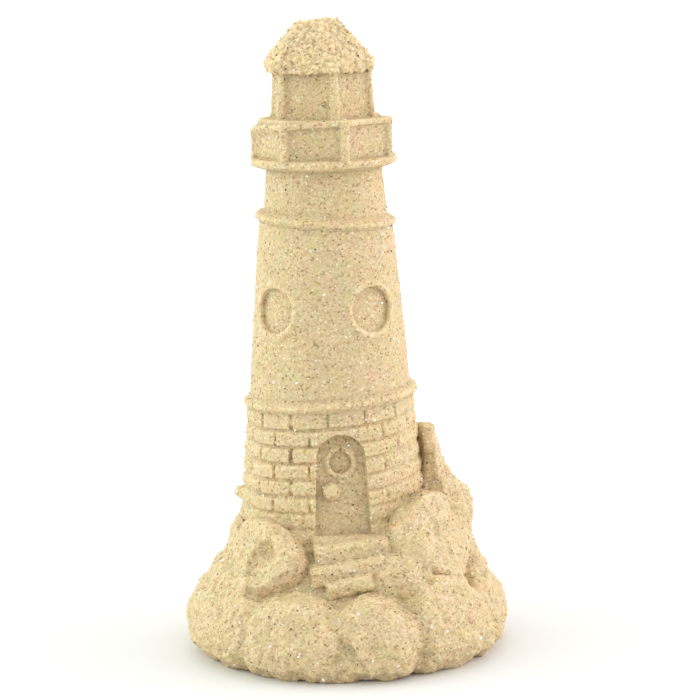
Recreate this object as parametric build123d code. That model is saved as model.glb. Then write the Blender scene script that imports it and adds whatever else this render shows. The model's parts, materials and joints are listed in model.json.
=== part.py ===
from build123d import *
import os
from math import cos, radians, sin, sqrt

# Lighthouse figurine of resin-bound beach sand, in millimetres, +Z up, with the door facing -Y.
# The tower's axis is X = Y = 0 while the pieces are made. At the end all of them are moved together, so
# that the middle of the underside is the origin.
# A bearing is an angle in degrees seen from above: 0 at the front, growing towards +X.

# Rock mound
BASE_X = 2.1
BASE_Y = -3.5
MOUND_FLOOR_R = 25.2
MOUND_BULGE_R = 27.7
MOUND_BULGE_Z = 5.5
SEAT_Z = 20.0
SEAT_MARGIN = 0.6

# Outline of the whole heap of rocks: distance from the middle of the base, and height
HEAP_OUTLINE = (
    (26.2, 0.0),
    (28.9, 2.4),
    (29.5, 5.6),
    (28.7, 9.0),
    (26.5, 12.8),
    (22.9, 18.2),
    (20.4, 22.7),
    (18.8, 27.0),
    (17.4, 31.0),
)

# Brick drum: a battered wall, with courses that climb to the right as the belt above them does
DRUM_HEIGHT = 26.4
DRUM_FOOT_R = 17.55
DRUM_TOP_R = 15.15
COURSE_COUNT = 8
COURSE_HEIGHT = 2.95
BRICKS_PER_COURSE = 14
FIRST_JOINT_BEARING = -1.7
BED_JOINT_WIDTH = 0.68
HEAD_JOINT_WIDTH = 0.46
MORTAR_DEPTH = 0.7
PROUD_BRICK_BEARING = -88.0
PROUD_BRICK_COURSE = 5
PROUD_BRICK_WIDTH = 3.4
PROUD_BRICK_STEP = 1.1

# Door
DOOR_BEARING = 6.5
DOOR_SILL = 3.3
DOOR_FOOT_WIDTH = 10.1
DOOR_SPRING_WIDTH = 8.8
DOOR_SPRING_HEIGHT = 13.8
DOOR_CROWN_RISE = 4.3
DOOR_REVEAL = 2.6
DOOR_LEAF_THICK = 1.4
DOOR_WINDOW_HEIGHT = 13.0
DOOR_WINDOW_R = 2.9
DOOR_WINDOW_RIM = 0.9
DOOR_WINDOW_PROUD = 0.3
DOOR_WINDOW_SINK = 0.8
KNOB_OFFSET = -1.85
KNOB_HEIGHT = 7.95
KNOB_R = 1.65
KNOB_STANDOFF = 0.6

# Belts: ledges with a rounded nose between two slopes
BELT_RISE = 1.0
BELT_DROP = 1.1
BELT_NOSE_R = 0.55
BELT_OVERHANG_BELOW = 0.2
LOWER_BELT_R = 16.15
LOWER_BELT_TILT = 3.5
UPPER_BELT_R = 13.05
UPPER_BELT_TILT = -3.9

# Shaft, measured between the middles of the two belts, with a slight swell, and its four round windows
SHAFT_HEIGHT = 32.3
SHAFT_FOOT_R = 14.65
SHAFT_TOP_R = 11.95
SHAFT_SWELL = 0.15
WINDOW_HEIGHT = 16.6
WINDOW_R = 4.2
WINDOW_BEARINGS = (-46.0, 37.5, 134.0, 217.5)
WINDOW_SINK = 0.95
WINDOW_PANE_THICK = 1.2

# Neck and gallery
NECK_HEIGHT = 9.1
NECK_FOOT_R = 11.3
NECK_TOP_R = 10.45
DECK_THICK = 2.0
DECK_R = 13.2
DECK_EDGE_FILLET = 0.6
DECK_COVE = 0.7
PARAPET_SIDES = 7
PARAPET_CORNER_BEARING = -33.4
PARAPET_R = 13.3
PARAPET_HEIGHT = 6.2
PARAPET_TILT = 2.6
PARAPET_LEAN = 3.7
PARAPET_RELIEF = 0.8
PARAPET_RAIL_HEIGHT = 1.1
PARAPET_POST_WIDTH = 1.6
WALK_RISE = 0.8
WALK_MARGIN = 0.15

# Lantern and roof
LANTERN_CORNERS = (-51.0, 14.0, 70.0, 129.0, 189.0, 249.0)
LANTERN_FOOT_R = 10.3
LANTERN_TOP_R = 9.7
LANTERN_HEIGHT = 8.2
LANTERN_RELIEF = 0.75
LANTERN_MULLION_WIDTH = 1.6
EAVE_OVERHANG = 1.05
EAVE_UNDERCUT = 0.25
EAVE_HEIGHT = 2.0
ROOF_RISE = 7.3
ROOF_TOP_R = 3.9
ROOF_HIP_ROUND = 1.6
ROOF_TOP_TILT = 4.0
ROOF_SHIFT = -0.5

# Stair slabs, from the door down: shift to the right, drop of the top below the sill, width, thickness,
# reach in front of the drum's wall, and climb to the right in degrees
STAIR_SLABS = {
    "stair_slab_upper": (0.9, 0.5, 13.5, 4.0, 3.4, 5.5),
    "stair_slab_middle": (-0.2, 3.6, 13.4, 3.6, 5.4, 8.0),
    "stair_slab_lower": (-0.2, 6.2, 8.2, 2.9, 7.4, 11.0),
}
STAIR_CHAMFER = 0.6

# Rocks are bodies with gently bulging faces that lie round them on a spiral
ROCK_FACES = 10
ROCK_BULGE = 1.5
GOLDEN_ANGLE = 137.508

# Rocks round the foot: bearing from the middle of the base, height of the rock's middle, how far that lies
# outside the mound's face, half sizes along the rim, across it and upwards, and twist of the faces
FOOT_ROCKS = {
    "rock_front_left": (-22.0, 5.7, -5.2, 10.8, 8.2, 8.2, 10.0),
    "rock_front_right": (13.5, 6.4, -5.2, 8.4, 8.2, 7.4, 75.0),
    "rock_right": (48.0, 5.8, -5.2, 11.0, 8.2, 9.6, 120.0),
    "rock_left": (-68.0, 6.6, -5.2, 13.6, 8.2, 11.2, 30.0),
    "rock_right_back": (93.0, 5.8, -5.2, 13.0, 8.2, 9.4, 200.0),
    "rock_back_right": (143.0, 6.8, -5.0, 13.0, 8.0, 12.6, 255.0),
    "rock_back_left": (193.0, 7.4, -5.0, 13.4, 8.0, 12.4, 310.0),
    "rock_left_back": (241.0, 6.0, -5.0, 12.6, 8.0, 11.0, 95.0),
}

# Small wedge in a three-cornered hollow between the two front rocks: place and corners of the hollow, and the
# wedge's own outline, which leans back from that of the heap
WEDGE_BEARING = -1.0
WEDGE_CORNERS = ((-6.3, -1.0), (6.0, -1.0), (0.7, 7.8))
WEDGE_ROUND = 1.0
WEDGE_ROOT_R = 21.0
WEDGE_DEPTH = 11.0
WEDGE_OUTLINE = ((26.2, 0.0), (28.5, 2.4), (28.0, 5.4), (26.2, 9.0))

# Notch in the left side of the heap, where the upper rocks step back from the lower ones, and how far the ring
# that cuts it lies to the right of the middle of the base, so that it fades out to the front and the back
NOTCH_OUTLINE = ((21.9, 17.4), (26.5, 14.5), (26.5, 22.0), (20.4, 22.0), (21.4, 19.2))
NOTCH_SHIFT = 4.0

# Rocks that lean on the drum: the same values, with the bearing from the tower's axis and the distance from
# the drum's face
LEANING_ROCKS = {
    "rock_upper_left": (-40.5, 18.2, 1.6, 9.6, 6.6, 7.2, 20.0),
    "rock_upper_right": (57.0, 20.4, 2.4, 10.4, 7.0, 8.8, 65.0),
    "rock_lumps_right": (32.0, 14.8, 3.6, 6.6, 4.8, 5.6, 150.0),
    "rock_upper_left_back": (-92.0, 18.5, -1.0, 9.4, 3.2, 6.2, 215.0),
    "rock_upper_right_back": (124.0, 16.6, 1.4, 10.2, 6.8, 8.2, 135.0),
}
DENT_ROCK = "rock_upper_left"
DENT_ENDS = ((-48.2, 19.4), (-41.8, 21.4))
DENT_R = 2.6
DENT_ROUND = 2.4
DENT_DEPTH = 1.7

# Crag right of the tower, in hewn tiers: height, place of the middle outside the drum's face, half width
# along the wall and half width away from it, all at one bearing each
CRAG_SIDES = 6
CRAG_TWIST = 1.5
CRAGS = {
    "crag_spire": (
        92.0,
        (
            (12.0, 3.2, 8.6, 5.6),
            (24.0, 2.8, 6.6, 4.6),
            (29.0, 2.6, 5.2, 3.8),
            (33.6, 2.0, 3.8, 1.9),
            (39.9, 1.7, 2.8, 1.9),
        ),
    ),
    "crag_shoulder": (
        99.0,
        ((11.0, 4.6, 9.0, 6.4), (18.0, 4.2, 7.6, 4.0), (24.0, 4.7, 6.0, 3.9), (27.9, 5.2, 4.0, 3.5)),
    ),
}

DRUM_TOP_Z = SEAT_Z + DRUM_HEIGHT
SHAFT_TOP_Z = DRUM_TOP_Z + SHAFT_HEIGHT
DECK_Z = SHAFT_TOP_Z + NECK_HEIGHT
PARAPET_Z = DECK_Z + DECK_THICK
WALK_Z = PARAPET_Z + PARAPET_HEIGHT
LANTERN_Z = WALK_Z + WALK_RISE
EAVE_Z = LANTERN_Z + LANTERN_HEIGHT
SILL_Z = SEAT_Z + DOOR_SILL
WINDOW_Z = DRUM_TOP_Z + WINDOW_HEIGHT
PARAPET_CORNERS = [PARAPET_CORNER_BEARING + side * 360 / PARAPET_SIDES for side in range(PARAPET_SIDES)]
CLEAR = 1.0


def outward(bearing, rise=0.0):
    """Unit vector that points away from the axis at a bearing, lifted by a rise in degrees."""
    turn, lift = radians(bearing), radians(rise)
    return Vector(sin(turn) * cos(lift), -cos(turn) * cos(lift), sin(lift))


def rightward(bearing):
    """Unit vector to the right of someone who looks at the tower from that bearing."""
    return Vector(cos(radians(bearing)), sin(radians(bearing)), 0)


def between(start, end, share):
    return start + (end - start) * share


def drum_radius(z):
    return between(DRUM_FOOT_R, DRUM_TOP_R, (z - SEAT_Z) / DRUM_HEIGHT)


def shaft_radius(z):
    return between(SHAFT_FOOT_R, SHAFT_TOP_R, (z - DRUM_TOP_Z) / SHAFT_HEIGHT)


def mound_reach(bearing, z):
    """Distance from the middle of the base to the mound's face, at a bearing and a height."""
    if z <= MOUND_BULGE_Z:
        return between(MOUND_FLOOR_R, MOUND_BULGE_R, z / MOUND_BULGE_Z)
    share = (z - MOUND_BULGE_Z) / (SEAT_Z - MOUND_BULGE_Z)
    radius = between(MOUND_BULGE_R, DRUM_FOOT_R + SEAT_MARGIN, share)
    middle = Vector(-BASE_X, -BASE_Y, 0) * share
    along = middle.dot(outward(bearing))
    return along + sqrt(radius**2 - middle.length**2 + along**2)


def level(z, tilt, lean=0.0):
    """Plane across the tower's axis that climbs to the right by a tilt and to the front by a lean."""
    turn = radians(tilt)
    normal = (-sin(turn), sin(radians(lean)), cos(turn))
    return Plane(origin=(0, 0, z), x_dir=(cos(turn), 0, sin(turn)), z_dir=normal)


def turned(*corners):
    """Solid of revolution about Z from the corners of its half section, as (radius, height)."""
    return revolve(Plane.XZ * make_face(Polyline(*corners, close=True)), Axis.Z)


def polygon(corners, radius, z, rounding=0.0):
    """Polygon across the axis, with its corners at the bearings."""
    face = make_face(Polyline(*[outward(bearing) * radius for bearing in corners], close=True))
    if rounding:
        face = fillet(face.vertices(), rounding)
    return Pos(0, 0, z) * face


def biggest(shape):
    """The main solid of a shape, without the crumbs that its neighbours cut loose."""
    return Part(shape.solids().sort_by(SortBy.VOLUME)[-1].wrapped)


def meets(first, second):
    """Whether the boxes round two shapes overlap."""
    a, b = first.bounding_box(), second.bounding_box()
    apart = (a.min.X > b.max.X, b.min.X > a.max.X, a.min.Y > b.max.Y)
    return not any(apart + (b.min.Y > a.max.Y, a.min.Z > b.max.Z, b.min.Z > a.max.Z))


def fitted(shape, neighbours):
    """A shape cut back to the faces of the pieces that were there first."""
    return biggest(shape - [other for other in neighbours if meets(shape, other)])


# Tower


def plain_drum():
    """The drum's wall before the bricks and the door are cut, up to the slanted belt."""
    top = DRUM_TOP_Z + DRUM_TOP_R * sin(radians(abs(LOWER_BELT_TILT)))
    wall = turned((0, SEAT_Z), (DRUM_FOOT_R, SEAT_Z), (drum_radius(top), top), (0, top))
    return split(wall, bisect_by=level(DRUM_TOP_Z, LOWER_BELT_TILT).offset(-BELT_DROP), keep=Keep.BOTTOM)


def course_plane(courses_down):
    """Tilted plane across the drum, a number of courses below the lower belt."""
    return level(DRUM_TOP_Z - BELT_DROP - courses_down * COURSE_HEIGHT, LOWER_BELT_TILT)


def at_wall(courses_down, bearing):
    """Place on the drum's face, with X pointing outwards and Z along the tilted axis."""
    plane = course_plane(courses_down)
    return plane.location * Rot(0, 0, bearing - 90) * Pos(drum_radius(plane.origin.Z), 0, 0)


def bed_joint(courses_down):
    """Ring that cuts the mortar joint under a course, half as wide at its floor as at the wall's face."""
    plane = course_plane(courses_down)
    face = drum_radius(plane.origin.Z)
    floor, rim = face - MORTAR_DEPTH, face + CLEAR
    half = BED_JOINT_WIDTH / 2
    flare = half + half / 2 * CLEAR / MORTAR_DEPTH
    return plane.location * turned((floor, -half / 2), (rim, -flare), (rim, flare), (floor, half / 2))


def head_joints(course):
    """Upright joints of one course, half a brick off those of the next. None crosses the door."""
    step = 360 / BRICKS_PER_COURSE
    door_half = (DOOR_FOOT_WIDTH / 2 + HEAD_JOINT_WIDTH) / DRUM_FOOT_R
    cutter = Box(2 * MORTAR_DEPTH, HEAD_JOINT_WIDTH, COURSE_HEIGHT)
    joints = []
    for brick in range(BRICKS_PER_COURSE):
        bearing = FIRST_JOINT_BEARING + step * (brick + course % 2 / 2)
        if cos(radians(bearing - DOOR_BEARING)) < cos(door_half):
            joints.append(at_wall(course + 0.5, bearing) * cutter)
    return joints


def mortar_joints():
    joints = []
    for course in range(COURSE_COUNT):
        joints.append(bed_joint(course + 1))
        joints.extend(head_joints(course))
    return joints


def proud_brick():
    """One brick on the left that stands out of the wall."""
    block = Box(2 * PROUD_BRICK_STEP, PROUD_BRICK_WIDTH, COURSE_HEIGHT - BED_JOINT_WIDTH)
    block = fillet(block.edges().group_by(Axis.X)[-1], PROUD_BRICK_STEP / 3)
    return at_wall(PROUD_BRICK_COURSE + 0.5, PROUD_BRICK_BEARING) * block


def door_plane(depth):
    """Plane parallel to the drum's battered face, at a depth behind the middle of the sill."""
    batter = (DRUM_FOOT_R - DRUM_TOP_R) / DRUM_HEIGHT
    normal = outward(DOOR_BEARING) + Vector(0, 0, batter)
    sill = outward(DOOR_BEARING) * drum_radius(SILL_Z) + Vector(0, 0, SILL_Z)
    return Plane(origin=sill, x_dir=rightward(DOOR_BEARING), z_dir=normal).offset(-depth)


def door_arch():
    """The door's outline: splayed jambs under a round arch, with the middle of the sill at the origin."""
    foot, spring = DOOR_FOOT_WIDTH / 2, DOOR_SPRING_WIDTH / 2
    jambs = Polyline((-spring, DOOR_SPRING_HEIGHT), (-foot, 0), (foot, 0), (spring, DOOR_SPRING_HEIGHT))
    crown = (0, DOOR_SPRING_HEIGHT + DOOR_CROWN_RISE)
    arch = ThreePointArc((spring, DOOR_SPRING_HEIGHT), crown, (-spring, DOOR_SPRING_HEIGHT))
    return make_face(jambs + arch)


def brick_drum(wall):
    niche_depth = DOOR_REVEAL + DOOR_LEAF_THICK
    niche = extrude(door_plane(niche_depth) * door_arch(), niche_depth + CLEAR)
    return biggest(biggest(wall + proud_brick()) - mortar_joints() - niche)


def door_leaf():
    leaf = extrude(door_plane(DOOR_REVEAL) * door_arch(), -DOOR_LEAF_THICK)
    glass = Cylinder(DOOR_WINDOW_R - DOOR_WINDOW_RIM, 2 * DOOR_WINDOW_SINK)
    return leaf - door_plane(DOOR_REVEAL).location * Pos(0, DOOR_WINDOW_HEIGHT, 0) * glass


def door_window_rim():
    """Raised round moulding about the sunk window in the door."""
    rim = Cylinder(DOOR_WINDOW_R, DOOR_WINDOW_PROUD, align=(Align.CENTER, Align.CENTER, Align.MIN))
    rim = fillet(rim.edges().group_by(Axis.Z)[-1], DOOR_WINDOW_PROUD / 2)
    rim -= Cylinder(DOOR_WINDOW_R - DOOR_WINDOW_RIM, 2 * DOOR_WINDOW_PROUD)
    return door_plane(DOOR_REVEAL).location * Pos(0, DOOR_WINDOW_HEIGHT, 0) * rim


def door_knob():
    """Ball knob that stands on the leaf."""
    ball = split(Pos(0, 0, KNOB_STANDOFF) * Sphere(KNOB_R), bisect_by=Plane.XY, keep=Keep.TOP)
    return door_plane(DOOR_REVEAL).location * Pos(KNOB_OFFSET, KNOB_HEIGHT, 0) * ball


def belt(z, tilt, nose, below, above):
    """Tilted round ledge, from the radius of the wall below it to that of the wall above it."""
    disc = turned((0, -BELT_DROP), (below, -BELT_DROP), (nose, 0), (above, BELT_RISE), (0, BELT_RISE))
    rim = disc.edges().filter_by(GeomType.CIRCLE).sort_by(SortBy.LENGTH)[-1]
    return level(z, tilt).location * fillet(rim, BELT_NOSE_R)


def shaft_body(inset):
    """The shaft between the slanted faces of the two belts, with its face set in by a distance."""
    sway = SHAFT_FOOT_R * sin(radians(max(abs(LOWER_BELT_TILT), abs(UPPER_BELT_TILT)))) + BELT_DROP
    foot, top = DRUM_TOP_Z - sway, SHAFT_TOP_Z + sway
    middle = (foot + top) / 2
    foot_corner = (shaft_radius(foot) - inset, foot)
    top_corner = (shaft_radius(top) - inset, top)
    swell = ThreePointArc(foot_corner, (shaft_radius(middle) + SHAFT_SWELL - inset, middle), top_corner)
    rest = Polyline(top_corner, (0, top), (0, foot), foot_corner)
    body = revolve(Plane.XZ * make_face(swell + rest), Axis.Z)
    body = split(body, bisect_by=level(DRUM_TOP_Z, LOWER_BELT_TILT).offset(BELT_RISE), keep=Keep.TOP)
    return split(body, bisect_by=level(SHAFT_TOP_Z, UPPER_BELT_TILT).offset(-BELT_DROP), keep=Keep.BOTTOM)


def window_bores():
    """Round bores of the shaft's windows, each with a flat bottom behind its pane."""
    depth = WINDOW_SINK + WINDOW_PANE_THICK
    floor = shaft_radius(WINDOW_Z) - depth
    bore = Cylinder(WINDOW_R, depth + 2 * CLEAR, align=(Align.CENTER, Align.CENTER, Align.MIN))
    places = [
        Plane(outward(b) * floor + Vector(0, 0, WINDOW_Z), x_dir=rightward(b), z_dir=outward(b))
        for b in WINDOW_BEARINGS
    ]
    return [place.location * bore for place in places]


def tower_shaft():
    return shaft_body(0) - window_bores()


def window_panes():
    """Panes that follow the shaft's curve, sunk below it."""
    inner = shaft_body(WINDOW_SINK)
    return Compound([biggest(bore & inner).solid() for bore in window_bores()])


def neck():
    sway = NECK_FOOT_R * sin(radians(abs(UPPER_BELT_TILT)))
    foot = SHAFT_TOP_Z - sway
    body = turned((0, foot), (NECK_FOOT_R, foot), (NECK_TOP_R, DECK_Z), (0, DECK_Z))
    return split(body, bisect_by=level(SHAFT_TOP_Z, UPPER_BELT_TILT).offset(BELT_RISE), keep=Keep.TOP)


def gallery_deck():
    """Round lip under the parapet, coved below and rounded at its edge."""
    cove_r = NECK_TOP_R + DECK_COVE
    edge_z = DECK_Z + DECK_THICK / 3
    disc = turned(
        (0, DECK_Z), (cove_r, DECK_Z), (DECK_R, edge_z), (DECK_R, PARAPET_Z), (0, PARAPET_Z)
    )
    rims = disc.edges().filter_by(GeomType.CIRCLE).sort_by(SortBy.LENGTH)[-2:]
    return fillet(rims, DECK_EDGE_FILLET)


def parapet_outline(inset, z):
    radius = PARAPET_R - inset / cos(radians(180 / PARAPET_SIDES))
    return polygon(PARAPET_CORNERS, radius, z)


def parapet_top(depth):
    """Plane of the parapet's top, higher at the front and on the right, or parallel to it at a depth."""
    return level(WALK_Z, PARAPET_TILT, PARAPET_LEAN).offset(-depth)


def parapet_block(inset):
    """Seven-sided block on the deck with a slanting top, its sides set in by a distance."""
    block = extrude(parapet_outline(inset, PARAPET_Z), 2 * PARAPET_HEIGHT)
    return split(block, bisect_by=parapet_top(0), keep=Keep.BOTTOM)


def parapet_wall():
    """The block behind the posts, with a walk that slopes up to the lantern where the rail is lower."""
    lowest = WALK_Z - PARAPET_R * sin(radians(PARAPET_TILT + PARAPET_LEAN))
    walk_r = (LANTERN_FOOT_R + WALK_MARGIN) / cos(radians(180 / PARAPET_SIDES))
    top = polygon(PARAPET_CORNERS, walk_r, LANTERN_Z)
    return parapet_block(PARAPET_RELIEF) + loft([parapet_outline(PARAPET_RELIEF, lowest), top], ruled=True)


def parapet_band(keep):
    """The ring that stands proud of the parapet wall, above or below the rail's lower edge."""
    ring = parapet_block(0) - parapet_block(PARAPET_RELIEF)
    return split(ring, bisect_by=parapet_top(PARAPET_RAIL_HEIGHT), keep=keep)


def corner_pieces(band, corners, radius, width):
    """The parts of a band that lie round its corners, one for each."""
    height = band.bounding_box().size.Z
    block = Box(radius, width, 2 * height)
    pieces = []
    for bearing in corners:
        place = Rot(0, 0, bearing - 90) * Pos(radius, 0, band.center().Z)
        pieces.append(biggest(band & place * block).solid())
    return Compound(pieces)


def parapet_posts():
    return corner_pieces(parapet_band(Keep.BOTTOM), PARAPET_CORNERS, PARAPET_R, PARAPET_POST_WIDTH)


def parapet_rail():
    return parapet_band(Keep.TOP)


def lantern_body(inset):
    """Six-sided room that narrows towards the roof, with its walls set in by a distance."""
    step = inset / cos(radians(180 / len(LANTERN_CORNERS)))
    foot = polygon(LANTERN_CORNERS, LANTERN_FOOT_R - step, LANTERN_Z)
    top = polygon(LANTERN_CORNERS, LANTERN_TOP_R - step, EAVE_Z)
    return loft([foot, top], ruled=True)


def lantern_mullions():
    band = lantern_body(0) - lantern_body(LANTERN_RELIEF)
    return corner_pieces(band, LANTERN_CORNERS, LANTERN_FOOT_R, LANTERN_MULLION_WIDTH)


def roof_cap():
    """Hipped roof with rounded hips, a deep eave and a blunt top that is a little higher on the right.

    It sits a little to the left on the lantern."""
    eave_r = LANTERN_TOP_R + EAVE_OVERHANG
    top_z = EAVE_Z + EAVE_HEIGHT + ROOF_RISE
    sections = (
        (eave_r - EAVE_UNDERCUT, EAVE_Z),
        (eave_r, EAVE_Z + EAVE_HEIGHT / 2),
        (eave_r, EAVE_Z + EAVE_HEIGHT),
        (ROOF_TOP_R, top_z),
    )
    faces = [polygon(LANTERN_CORNERS, r, z, ROOF_HIP_ROUND) for r, z in sections]
    low = ROOF_TOP_R * sin(radians(ROOF_TOP_TILT))
    cap = split(loft(faces, ruled=True), bisect_by=level(top_z - low, ROOF_TOP_TILT), keep=Keep.BOTTOM)
    return Pos(ROOF_SHIFT, 0, 0) * cap


# Rocks


def mound():
    """Bank of sand under the rocks, with a flat underside and a flat seat for the tower."""
    middle = Pos(BASE_X, BASE_Y, 0)
    sections = [
        middle * Circle(MOUND_FLOOR_R),
        middle * Pos(0, 0, MOUND_BULGE_Z) * Circle(MOUND_BULGE_R),
        Pos(0, 0, SEAT_Z) * Circle(DRUM_FOOT_R + SEAT_MARGIN),
    ]
    return loft(sections, ruled=True)


def boulder(middle, bearing, along, across, tall, twist):
    """Rock bounded by large balls, so that its faces bulge and meet in blunt ridges."""
    bulge = ROCK_BULGE * max(along, across, tall)
    balls = []
    for face in range(ROCK_FACES):
        rise = 1 - (2 * face + 1) / ROCK_FACES
        turn = radians(twist + face * GOLDEN_ANGLE)
        sideways = sqrt(1 - rise**2) * sin(turn)
        forwards = sqrt(1 - rise**2) * cos(turn)
        normal = rightward(bearing) * sideways + outward(bearing) * forwards + Vector(0, 0, rise)
        reach = sqrt((along * sideways) ** 2 + (across * forwards) ** 2 + (tall * rise) ** 2)
        place = Plane(middle + normal * (reach - bulge), x_dir=-normal, z_dir=normal.cross(Vector(0, 0, 1)))
        balls.append(place.location * Sphere(bulge))
    rock = balls[0]
    for ball in balls[1:]:
        rock &= ball
    return rock


def heap(outline):
    """The room that rocks fill: round, spreading from the tower to the foot, flat below."""
    return Pos(BASE_X, BASE_Y, 0) * turned((0, 0), *outline, (0, outline[-1][1]))


def notch():
    """Ring that cuts the notch in the left side of the heap."""
    ring = turned(*[(radius + NOTCH_SHIFT, z) for radius, z in NOTCH_OUTLINE])
    return Pos(BASE_X + NOTCH_SHIFT, BASE_Y, 0) * ring


def wedge_hollow():
    """Three-cornered opening through the rim between the two front rocks."""
    root = outward(WEDGE_BEARING) * WEDGE_ROOT_R + Vector(BASE_X, BASE_Y, 0)
    place = Plane(root, x_dir=rightward(WEDGE_BEARING), z_dir=outward(WEDGE_BEARING))
    face = make_face(Polyline(*WEDGE_CORNERS, close=True))
    return extrude(place * fillet(face.vertices(), WEDGE_ROUND), WEDGE_DEPTH)


def heap_reach(z):
    """Radius of the heap's outline at a height."""
    for (low_r, low_z), (high_r, high_z) in zip(HEAP_OUTLINE, HEAP_OUTLINE[1:]):
        if z <= high_z:
            break
    return between(low_r, high_r, (z - low_z) / (high_z - low_z))


def foot_rock(bearing, z, out, *form):
    middle = Vector(BASE_X, BASE_Y, z) + outward(bearing) * (mound_reach(bearing, z) + out)
    return boulder(middle, bearing, *form)


def leaning_rock(bearing, z, out, *form):
    middle = Vector(0, 0, z) + outward(bearing) * (drum_radius(z) + out)
    return boulder(middle, bearing, *form)


def dent():
    """Round-ended rod that scoops the slanting hollow out of the upper left rock."""
    first, last = [
        outward(bearing) * (heap_reach(z) + DENT_R - DENT_DEPTH) + Vector(BASE_X, BASE_Y, z)
        for bearing, z in DENT_ENDS
    ]
    path = last - first
    rod = Cylinder(DENT_R, path.length + 2 * DENT_R)
    rod = fillet(rod.edges().filter_by(GeomType.CIRCLE), DENT_ROUND)
    return Plane((first + last) / 2, z_dir=path).location * rod


def crag(bearing, tiers):
    """Hewn blade of rock in straight tiers, turned a little from tier to tier."""
    step = 360 / CRAG_SIDES
    faces = []
    for z, out, along, across in tiers:
        middle = outward(bearing) * (drum_radius(z) + out) + Vector(0, 0, z)
        corners = []
        for side in range(CRAG_SIDES):
            turn = radians(CRAG_TWIST * z + side * step)
            sideways = rightward(bearing) * along * sin(turn)
            corners.append(middle + sideways + outward(bearing) * across * cos(turn))
        faces.append(make_face(Polyline(*corners, close=True)))
    return loft(faces, ruled=True)


def stair_slab(shift, drop, width, thick, reach, climb):
    """Rough slab that comes out of the drum under the door and climbs to the right."""
    face = drum_radius(SILL_Z)
    slab = Box(width, 2 * reach, thick, align=(Align.CENTER, Align.CENTER, Align.MAX))
    slab = chamfer(slab.edges().group_by(Axis.Y)[0], STAIR_CHAMFER)
    place = outward(DOOR_BEARING) * face + Vector(0, 0, SILL_Z - drop)
    return Pos(place) * Rot(0, 0, DOOR_BEARING) * Pos(shift, 0, 0) * Rot(0, -climb, 0) * slab


def stair_slabs(wall):
    """The slabs from the door down, each cut to the drum and to those above it."""
    slabs = {}
    for name, values in STAIR_SLABS.items():
        slabs[name] = fitted(stair_slab(*values), [wall, *slabs.values()])
    return slabs


def rock_pile(wall, bank, slabs, hollow):
    """All that lies on the mound round the drum, each piece cut to those laid before it."""
    laid = {}
    room = heap(HEAP_OUTLINE) - notch()

    def lay(name, shape):
        laid[name] = fitted(shape, [wall, bank, hollow, *slabs, *laid.values()])

    for name, values in FOOT_ROCKS.items():
        lay(name, room & foot_rock(*values))
    for name, values in LEANING_ROCKS.items():
        rock = room & leaning_rock(*values)
        lay(name, rock - dent() if name == DENT_ROCK else rock)
    for name, values in CRAGS.items():
        lay(name, crag(*values))
    return laid


def figurine():
    wall = plain_drum()
    slabs = stair_slabs(wall)
    hollow = wedge_hollow()
    wedge = biggest(heap(WEDGE_OUTLINE) & hollow)
    bank = mound() - [wedge, *slabs.values()]
    lower_foot = drum_radius(DRUM_TOP_Z) + BELT_OVERHANG_BELOW
    upper_foot = SHAFT_TOP_R + BELT_OVERHANG_BELOW
    nodes = {
        "mound": bank,
        "brick_drum": brick_drum(wall),
        "door_leaf": door_leaf(),
        "door_window_rim": door_window_rim(),
        "door_knob": door_knob(),
        "lower_belt": belt(DRUM_TOP_Z, LOWER_BELT_TILT, LOWER_BELT_R, lower_foot, SHAFT_FOOT_R),
        "tower_shaft": tower_shaft(),
        "window_panes": window_panes(),
        "upper_belt": belt(SHAFT_TOP_Z, UPPER_BELT_TILT, UPPER_BELT_R, upper_foot, NECK_FOOT_R),
        "neck": neck(),
        "gallery_deck": gallery_deck(),
        "parapet_wall": parapet_wall(),
        "parapet_posts": parapet_posts(),
        "parapet_rail": parapet_rail(),
        "lantern_room": lantern_body(LANTERN_RELIEF),
        "lantern_mullions": lantern_mullions(),
        "roof_cap": roof_cap(),
    }
    nodes.update(slabs)
    nodes["rock_front_wedge"] = wedge
    nodes.update(rock_pile(wall, bank, slabs.values(), hollow))
    box = Compound([node for node in nodes.values()]).bounding_box()
    home = Pos(-box.center().X, -box.center().Y, -box.min.Z)
    return {name: home * node for name, node in nodes.items()}


os.makedirs("parts", exist_ok=True)
for node_name, node_shape in figurine().items():
    export_step(node_shape, f"parts/{node_name}.step")
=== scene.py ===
import json
import math

import bmesh
import bpy
import numpy as np
from mathutils import Matrix, Vector
from mathutils.bvhtree import BVHTree


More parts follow.
